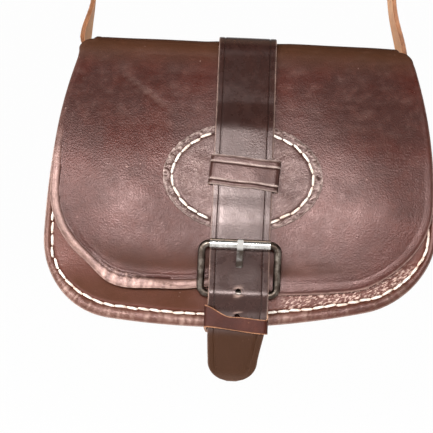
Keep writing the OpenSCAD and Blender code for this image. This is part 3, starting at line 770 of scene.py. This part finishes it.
# The shoulder strap is sewn along the gusset, rises in two legs and goes round at the top
SEWN, BEND_R, LOOP_HALF = 60, 60, 11
side_x, side_z, side_r = 133 - 520, 60.87, 513.7  # middle and radius of the gusset's side
sewn_top = math.asin((180.4 - side_z) / side_r)
sewn_foot = sewn_top - SEWN / side_r
foot = np.array([side_x + side_r * math.cos(sewn_top), side_z + side_r * math.sin(sewn_top)])
bend = foot + BEND_R * np.array([math.cos(sewn_top), math.sin(sewn_top)])
LEAN = math.radians(7.5)
leg_foot = bend - BEND_R * np.array([math.cos(LEAN), math.sin(LEAN)])
leg_top = leg_foot + 400 * np.array([-math.sin(LEAN), math.cos(LEAN)])
top_r = leg_top[0] / math.cos(LEAN)
right_leg = np.concatenate([
    arc(side_x, side_z, side_r, sewn_foot, sewn_top, 12),
    arc(bend[0], bend[1], -BEND_R, sewn_top, LEAN, 6)[1:],
    np.linspace(leg_foot, leg_top, 80)[1:],
    arc(0, leg_top[1] - top_r * math.sin(LEAN), top_r, LEAN, math.pi / 2, 30)[1:]])
loop, loop_left = even(np.concatenate([right_leg, right_leg[-2::-1] * [-1, 1]]), 3.0)
loop_across = np.r_[-11, -10.6, -9.9, -8.6, -7.6, -6.6, -3, 0, 3, 6.6, 7.6, 8.6, 9.9, 10.6, 11]


def loop_place(row, column):
    """The legs twist and bow just above the bag, and stand back there so that the flap clears them."""
    p, out = loop[row], -loop_left[row]
    b = loop_across[column]
    high = p[1]
    left = p[0] < 0
    low, top = (-0.15, 0.1) if left else (-0.09, -0.02)
    twist = (low + (top - low) * ease(197, 224, high)) * ease(182, 196, high) * (1 - ease(300, 420, high))
    ahead = Vector((-out[1], 0, out[0]))
    n0, b0 = Vector((out[0], 0, out[1])), Vector((0, 1, 0))
    turn = Matrix.Rotation(-twist, 3, ahead)
    n1, b1 = turn @ n0, turn @ b0
    bow = 7.5 * ease(170, 290, high) + 3.5 * ease(181, 196, high) if left else -3 * ease(190, 230, high)
    lean_off = 10.5 * ease(180, 198, high) * (1 - ease(300, 480, high))
    slack = bow * (1 - ease(320, 600, high)) + 2.2 * ease(240, 420, high) * cloud(high, 7 if left else 3, 120, 3.7)
    rim = LOOP_HALF - abs(b)
    face = 1.5 - 0.5 * max(0.0, 1 - rim / 0.9) ** 2 - 0.3 * math.exp(-((rim - 3.4) / 0.5) ** 2)
    q = Vector((p[0], lean_off - MID_Y, p[1])) + LOOP_HALF * (b0 - b1) + b1 * b + n1 * face + n0 * slack
    return bag(*q)


loop_rim = LOOP_HALF - np.abs(loop_across)
loop_worn = [[0.8 * max(0.0, 1 - rim / 1.2) for rim in loop_rim]] * len(loop)
# Painted shade in the line pressed along each edge.
loop_deep = [[0.6 * math.exp(-((rim - 3.4) / 0.5) ** 2) for rim in loop_rim]] * len(loop)
shoulder_strap = grid("shoulder_strap", len(loop), len(loop_across), loop_place, worn=loop_worn, deep=loop_deep)
thicken(shoulder_strap, LEATHER_T, hide, tan_flesh, tan_edge)
soften(shoulder_strap, 50)


# Patch, keepers and chape

def select_faces(obj):
    pick(obj)
    bpy.ops.object.mode_set(mode="EDIT")
    bpy.ops.mesh.select_mode(type="FACE")
    bpy.ops.mesh.select_all(action="SELECT")


PATCH_RINGS = (0.012, 0.014, 0.018, 0.022, 0.022, 0.022, 0.02, 0.02, 0.03, 0.05, 0.07, 0.09, 0.1, 0.11, 0.12,
               0.12, 0.1)


def oval_patch():
    """A soft oval of thin leather, inset ring by ring from its edge. Its rim outside the stitches is
    crinkled, with painted glints on the crests and painted shade in the hollows and the stitch groove.
    """
    bpy.ops.mesh.primitive_circle_add(vertices=200, radius=1, fill_type="NGON")
    obj = bpy.context.object
    obj.name = obj.data.name = "oval_patch"
    select_faces(obj)
    for step in PATCH_RINGS:
        bpy.ops.mesh.inset(thickness=step, use_even_offset=False)
    bpy.ops.object.mode_set(mode="OBJECT")
    worn, deep, wrinkle_glints = [], [], []
    for v in obj.data.vertices:
        k = min(math.hypot(v.co.x, v.co.y), 1.0)
        a = math.atan2(v.co.y, v.co.x)
        run = a * 45
        d = (1 - k) * 46
        rim = ease(5.4, 3.0, d)
        ragged = cloud(run, 0, 3.6, 1.1) + 0.7 * cloud(run, 0, 1.6, 6.2)
        grow = 1 + rim * 0.012 * ragged
        x, s = PATCH_W / 2 * k * grow * math.cos(a), PATCH_SEEN + PATCH_H / 2 * k * grow * math.sin(a)
        sewn = math.exp(-((d - 5.4) / 0.8) ** 2)
        rough = 0.55 + 0.45 * cloud(run, 0, 30, 4.1) + 0.4 * math.sin(a) * (x < 0)
        wave = cloud(x, s, 1.9, 7.4) + 0.8 * cloud(x, s, 3.8, 2.9)
        soft = 0.3 * cloud(x, s, 11, 3.8) + 0.25 * cloud(x, s, 6, 1.3)
        out = PATCH_T + rim * (0.1 + 0.95 * rough * wave) - 0.6 * sewn + ease(6, 12, d) * soft
        out -= 0.5 * max(0.0, 1 - d / 0.8)
        v.co = front(x, s, FLAP_FACE + 0.25 + flap_puff(x, s) + out)
        # Painted glints on the crests of the rim's waves, and wear at the cut edge.
        worn.append(min(1.0, 1.1 * rim * rough * max(0.0, wave) + 0.45 * max(0.0, 1 - d / 0.9)))
        # Painted shade in the stitch groove and the hollows of the rim's waves.
        deep.append(0.4 * sewn + 0.35 * rim * max(0.0, -wave))
        # Painted glints on small wrinkles, most on the rim.
        wrinkle_glints.append(0.3 * rim + 0.1 * ease(6, 10, d))
    for mark, values in (("worn", worn), ("deep", deep), ("wrinkle_glints", wrinkle_glints)):
        obj.data.attributes.new(mark, "FLOAT", "POINT").data.foreach_set("value", values)
    thicken(obj, PATCH_T, patch_hide, brown_flesh, pale_edge)
    return soften(obj, 50)


patch = oval_patch()


def band_edge(k):
    """1 at both edges of a band and 0 a little inside them."""
    return max(0.0, 1 - min(k, 1 - k) * 14)


def band(name, section, rows, place, t, material, closed=False, worn_edge=0.8, lines=()):
    """A leather band: its section is a line of points, its rows are shares across its width. Its edges
    are pale with wear, and each pressed line gets a painted highlight with painted shade just below it.
    """
    n = len(section)
    # Wear on both edges, and a painted highlight along each pressed line.
    pale = [worn_edge * band_edge(k) + sum(0.8 * math.exp(-((k - h) / 0.022) ** 2) for h in lines) for k in rows]
    # Painted shade just below each pressed line.
    dark = [sum(0.5 * math.exp(-((k - h + 0.05) / 0.025) ** 2) for h in lines) for k in rows]
    obj = grid(name, len(rows), n, lambda r, c: place(section[c], rows[r]), worn=[[v] * n for v in pale],
               deep=[[v] * n for v in dark])
    if closed:
        select_faces(obj)
        bpy.ops.mesh.remove_doubles(threshold=1e-6)
        bpy.ops.object.mode_set(mode="OBJECT")
    thicken(obj, t, material, brown_flesh, pale_edge)
    return soften(obj, 50)


edge_rows = np.r_[0, 0.03, 0.07, np.linspace(0.11, 0.89, 36), 0.93, 0.97, 1]

# Keeper on the patch, which sits a little askew
bridge = rounded([(-24, 3.4), (-23.6, 10.4), (23.6, 10.4), (24, 3.4)], [3.2, 3.2])
bridge = even(bridge, 1.1)[0]
TILT = math.radians(4.5)


def bridge_place(p, k):
    """The keeper arches over the strap, with a line pressed in along each edge."""
    x, w = p
    s = 21 * k - 11.5
    flat = ease(6, 9, w)
    w += flat * (0.5 * math.cos(x / 22.3 * 1.5) + 0.25 * cloud(x, s, 9, 4.6)
                 - 0.4 * math.exp(-((k - 0.17) / 0.03) ** 2) - 0.4 * math.exp(-((k - 0.75) / 0.03) ** 2)
                 - 0.4 * band_edge(k))
    s *= 1 + 0.05 * cloud(x, 0, 14, 8.8)
    up = PATCH_MID + 6 - x * math.sin(TILT) + s * math.cos(TILT)
    return front(1.2 + x * math.cos(TILT) + s * math.sin(TILT), up, w)


patch_keeper = band("patch_keeper", bridge, edge_rows, bridge_place, KEEPER_T, patch_hide, worn_edge=0.5,
                    lines=(0.2, 0.78))

# Lower keeper, a closed loop round the chape's foot and the strap; its front has sagged to one side
ring = np.array([(22.3, 6), (22.3, 12.7), (-22.3, 12.7), (-22.3, 0.2), (22.3, 0.2), (22.3, 6)], float)
ring = even(rounded(ring, [3, 3, 2.5, 2.5]), 1.2)[0][::-1]
ring[-1] = ring[0]


def ring_place(p, k):
    """The loop is straight behind the strap and slopes in front of it."""
    x, w = p
    forward = ease(4, 12, w)
    top = 14 - forward * (7.4 * ease(-23, -4, x) + 1.2 * ease(0, 22, x))
    low = -4 + forward * (3.2 * (1 - ease(-22, 20, x)))
    s = low + (top - low) * k
    w += forward * (0.3 * cloud(x, s, 8, 2.4) - 0.3 * band_edge(k))
    return front(x * (0.92 + 0.08 * forward) - 1.6 * forward * ease(0, 22, x), s, w)


lower_keeper = band("lower_keeper", ring, edge_rows, ring_place, KEEPER_T, red_hide, closed=True, worn_edge=1.0)

# Chape, folded round the heel bar and slit for the prong
round_bar = arc(22, 6.45, 4.55, math.radians(118), math.radians(-90), 22)
fold = even(np.concatenate([[[3, 3.9], [12, 3.9]], round_bar, [[3, 1.9]]]), 1.0)[0]
chape = band("chape", fold, np.linspace(0, 1, 17), lambda p, k: front(20 - 40 * k, p[0], p[1]), CHAPE_T, red_hide)
bpy.ops.mesh.primitive_cube_add(size=1)
slit = bpy.context.object
slit.matrix_world = (Matrix.Translation(front(0, 24, 7)) @ Matrix.Rotation(math.pi / 2 - SLOPE, 4, "X")
                     @ Matrix.Diagonal((0.0066, 0.0175, 0.016, 1)))
slit.data.materials.append(pale_edge)
bpy.context.view_layer.update()
apply(chape, "BOOLEAN", operation="DIFFERENCE", object=slit, solver="EXACT")
bpy.data.objects.remove(slit)
soften(chape, 40)


# Stitches

def one_stitch(length, thick):
    """A stitch, thickest in the middle, with both ends going down into their holes."""
    bpy.ops.mesh.primitive_cylinder_add(vertices=8, radius=thick / 2000, depth=length / 1000, end_fill_type="NGON")
    obj = bpy.context.object
    select_faces(obj)
    for z in (0, -0.38, -0.2, 0.2, 0.38):
        bpy.ops.mesh.select_all(action="SELECT")
        bpy.ops.mesh.bisect(plane_co=(0, 0, z * length / 1000), plane_no=(0, 0, 1))
    bpy.ops.object.mode_set(mode="OBJECT")
    for v in obj.data.vertices:
        k = abs(v.co.z) / (length / 2000)
        v.co.x *= 1 - 0.4 * k ** 4
        v.co.y = v.co.y * (1 - 0.3 * k ** 4) - thick / 1000 * 0.7 * k ** 4
    return obj


def seam(name, places, length, thick, body):
    """Copies of one stitch, each with its own mesh: places hold a middle, a direction and the way out.
    By hand, they slant and stray a little."""
    model = one_stitch(length, thick)
    parts = []
    for i, (middle, ahead, out) in enumerate(places):
        out = out.normalized()
        side = out.cross(ahead).normalized()
        ahead = (side.cross(out) + side * 0.2 * noise.noise(Vector((i * 0.7, 3.1, 0.4)))).normalized()
        middle = middle + side * 0.0006 * noise.noise(Vector((i * 0.9, 7.7, 1.2)))
        side = out.cross(ahead).normalized()
        turn = Matrix((side, out, ahead)).transposed()
        copy = model.copy()
        copy.data = model.data.copy()
        copy.data.transform(Matrix.Translation(middle) @ turn.to_4x4())
        bpy.context.collection.objects.link(copy)
        parts.append(copy)
    bpy.data.objects.remove(model)
    obj = join(name, parts)
    obj.data.materials.append(thread)
    soften(obj, 60)
    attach(obj, body)
    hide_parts(name)


def along(path, pitch, put):
    """Stitch places at an even pitch along a flat line, put on their surface."""
    length = np.linalg.norm(np.diff(path, axis=0), axis=1).sum()
    count = int(length / pitch)
    places = []
    for i in range(count):
        a, m, b = line_at(path, [(i + 0.3) / count, (i + 0.5) / count, (i + 0.7) / count])
        pa, pm, pb = put(*a, 0), put(*m, 0), put(*b, 0)
        places.append((pm, pb - pa, put(*m, 1) - pm))
    return places


def seam_path(half, more):
    """The sewn line inside a panel's outline, which wanders a little; more is its share of sewn_in's extra."""
    path = both_sides(half)
    run = np.r_[0, np.cumsum(np.linalg.norm(np.diff(path, axis=0), axis=1))]
    wander = [0.4 * cloud(r, 0, 22, 9.1) + 0.25 * cloud(r, 5, 6, 2.7) for r in run]
    ahead = np.gradient(path, axis=0)
    ahead /= np.linalg.norm(ahead, axis=1)[:, None]
    inward = [w + more * (sewn_in(s) - SEAM_IN) for w, s in zip(wander, path[:, 1])]
    return path + np.stack([-ahead[:, 1], ahead[:, 0]], 1) * np.array(inward)[:, None]


def front_seam(x, s, out):
    """The front seam lies on the panel's border, and behind the flap's puffed face further up."""
    shown = (1 - ease(20, 27, s)) if abs(x) > 26 else 0.0
    w = 0.75 * shown * ease(26, 32, abs(x)) + 0.8 * flap_puff(x, s) * ease(26, 44, s) + lean_back(s)
    return settled(x, s, w - 0.62 + out)


def back_seam(x, v, out):
    return bag(-x, out - 0.75, settle(-x, v, 0)[1])


def on_patch(x, s, out):
    return front(x, s, FLAP_FACE + 0.35 + PATCH_T + flap_puff(x, s) + out - 0.15)


PLAIN_PITCH, PLAIN_STITCH = 7.5, (6, 1.1)
STRAP_CLEAR = 0.0206  # metres from the middle, so that no stitch lies under the closure strap
inner = pouch(*BODY, 0, 178, SEAM_IN)[0]
seam("front_seam_thread", along(seam_path(inner, 1), 7.8, front_seam), 8.0, 1.9, "bag")
inner = pouch(*BODY, 0, 168, SEAM_IN)[0]
seam("back_seam_thread", along(seam_path(inner, 0), PLAIN_PITCH, back_seam), 6.6, 1.2, "bag")
ring_a = np.linspace(-math.pi, math.pi, 161)
oval = np.stack([(PATCH_W / 2 - 6.2) * np.cos(ring_a), PATCH_SEEN + (PATCH_H / 2 - 4.9) * np.sin(ring_a)], 1)
beside_strap = [p for p in along(oval, 8.2, on_patch) if abs(p[0].x) > STRAP_CLEAR]
seam("patch_thread", beside_strap, 8.5, 1.9, "flap")
row = np.array([[-16.5, 0], [16.5, 0]], float)
chape_row = along(row, PLAIN_PITCH, lambda x, s, out: front(x, s + 6.5, 4.35 + out))
seam("chape_thread", chape_row, *PLAIN_STITCH, "bag")
root_row = along(row, PLAIN_PITCH, lambda x, s, out: bag(x, s - 21, 199.5 + out))
seam("closure_root_thread", root_row, *PLAIN_STITCH, "crown")
ends = []
for hand in (-1, 1):
    for y in (-MID_Y - 7.5, -MID_Y + 7.5):
        a = np.linspace(sewn_foot + 0.006, sewn_top - 0.006, 30)
        path = np.stack([side_r * a, a], 1)
        ends += along(path, PLAIN_PITCH, lambda _, b, out, hand=hand, y=y: bag(
            hand * (side_x + (side_r + 1.9 + out) * math.cos(b)), y, side_z + (side_r + 1.9 + out) * math.sin(b)))
seam("strap_end_thread", ends, *PLAIN_STITCH, "bag")


# What each piece moves with, and the part it stands for

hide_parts("flap_front", "flap_crown")
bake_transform(flap)
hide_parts("back_panel")
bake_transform(back)
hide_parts("closure_strap", "closure_strap_root")
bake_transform(strap)
for piece, body, finish, node in (
        (panel, "bag", "hide", "front_panel"),
        (gusset, "bag", "dark_hide", "gusset"),
        (shoulder_strap, "bag", "tan_hide", "shoulder_strap"),
        (chape, "bag", "red_hide", "chape"),
        (lower_keeper, "bag", "red_hide", "lower_keeper"),
        (patch, "flap", "hide", "oval_patch"),
        (patch_keeper, "flap", "hide", "patch_keeper")):
    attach(piece, body)
    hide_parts(node)

for node, metal in (("buckle_frame", dark_steel), ("buckle_prong", prong_steel), ("buckle_roller", bright_steel)):
    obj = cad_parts[node]
    obj.data.materials.clear()
    obj.data.materials.append(metal)


# Floor, light and camera

def white_paper(name):
    """Matt white background paper, which stays white to the camera and in reflections and keeps a soft shadow."""
    material, tree, shader, at = start(name)
    feed(tree, shader, {"Base Color": mixed(tree, lumps(tree, at, 3, 3.0), "#f1efed", "#fbfaf9"), "Roughness": 0.9})
    path = add(tree, "LightPath", {})
    seen = sums(tree, "MAXIMUM", path.outputs["Is Camera Ray"], path.outputs["Is Glossy Ray"])
    seen = sums(tree, "MAXIMUM", seen, path.outputs["Is Transmission Ray"])
    share = sums(tree, "MULTIPLY", seen, 0.98)
    glow = add(tree, "Emission", {"Color": linear("#ffffff"), "Strength": 1.0})
    shown = add(tree, "MixShader", {0: share, 1: shader.outputs[0], 2: glow.outputs[0]})
    feed(tree, tree.nodes["Material Output"], {"Surface": shown.outputs[0]})
    return material


# The paper goes up at all four edges, so that every side is seen against white
PAPER_SIZE, PAPER_RISE, PAPER_PLACE = 30, 3.2, (0, -12, -0.735)
bpy.ops.mesh.primitive_plane_add(size=PAPER_SIZE, location=PAPER_PLACE)
floor = bpy.context.object
floor.name = "floor"
bpy.ops.object.transform_apply(location=True)
bpy.ops.object.mode_set(mode="EDIT")
bpy.ops.mesh.select_mode(type="EDGE")
bpy.ops.mesh.select_all(action="SELECT")
bpy.ops.mesh.extrude_edges_move(TRANSFORM_OT_translate={"value": (0, 0, PAPER_RISE)})
bpy.ops.object.mode_set(mode="OBJECT")
apply(floor, "BEVEL", width=1.2, segments=12, limit_method="ANGLE")
soften(floor)
floor.data.materials.append(white_paper("white_paper"))

world = bpy.data.worlds.new("studio")
scene.world = world
world.use_nodes = True
feed(world.node_tree, world.node_tree.nodes["Background"], {"Strength": 0.13, "Color": linear("#f4f2f0")})


def panel_light(name, place, aim, width, height, watts, colour="#ffffff"):
    """A flat lamp, turned to its aim; all in metres."""
    lamp = bpy.data.lights.new(name, "AREA")
    lamp.shape = "RECTANGLE"
    lamp.size, lamp.size_y, lamp.energy = width, height, watts
    lamp.color = linear(colour)[:3]
    obj = bpy.data.objects.new(name, lamp)
    bpy.context.collection.objects.link(obj)
    obj.location = place
    obj.rotation_euler = (Vector(aim) - Vector(place)).to_track_quat("-Z", "Y").to_euler()


BAG_FACE = (0, -0.05, -0.55)
panel_light("front_panel_light", (-0.2, -1.05, -0.28), BAG_FACE, 1.6, 0.21, 13.6)
panel_light("left_light", (-0.95, -0.9, -0.3), (-0.1, -0.05, -0.55), 0.5, 0.3, 4.5)
panel_light("bright_middle", (-0.1, -1.03, -0.33), BAG_FACE, 0.2, 0.09, 3.2)
panel_light("top_light", (0.0, 0.1, 0.6), (0, -0.03, -0.45), 1.2, 0.8, 1.9, "#ffe6cc")
for side in (-1, 1):
    panel_light(f"back_light_{side}", (1.3 * side, 1.1, -0.15), (0, 0, -0.5), 0.8, 0.8, 7.0)

# The photo is taken from straight in front, a little from above and turned a little
PITCH, ROLL = math.radians(-1.1), math.radians(2.52)
LOOK_AT, AWAY = Vector((-0.0166, -0.0465, -0.5596)), 0.75
ahead = Vector((0, math.cos(PITCH), math.sin(PITCH)))
level = Vector((1, 0, 0))
upward = level.cross(ahead)
right = level * math.cos(ROLL) + upward * math.sin(ROLL)
upward = right.cross(ahead)
lens = bpy.data.cameras.new("camera")
lens.sensor_width = 36
lens.lens = 92.9
camera = bpy.data.objects.new("camera", lens)
bpy.context.collection.objects.link(camera)
place = Matrix((right, upward, -ahead)).transposed().to_4x4()
place.translation = LOOK_AT - ahead * AWAY
camera.matrix_world = place
scene.camera = camera
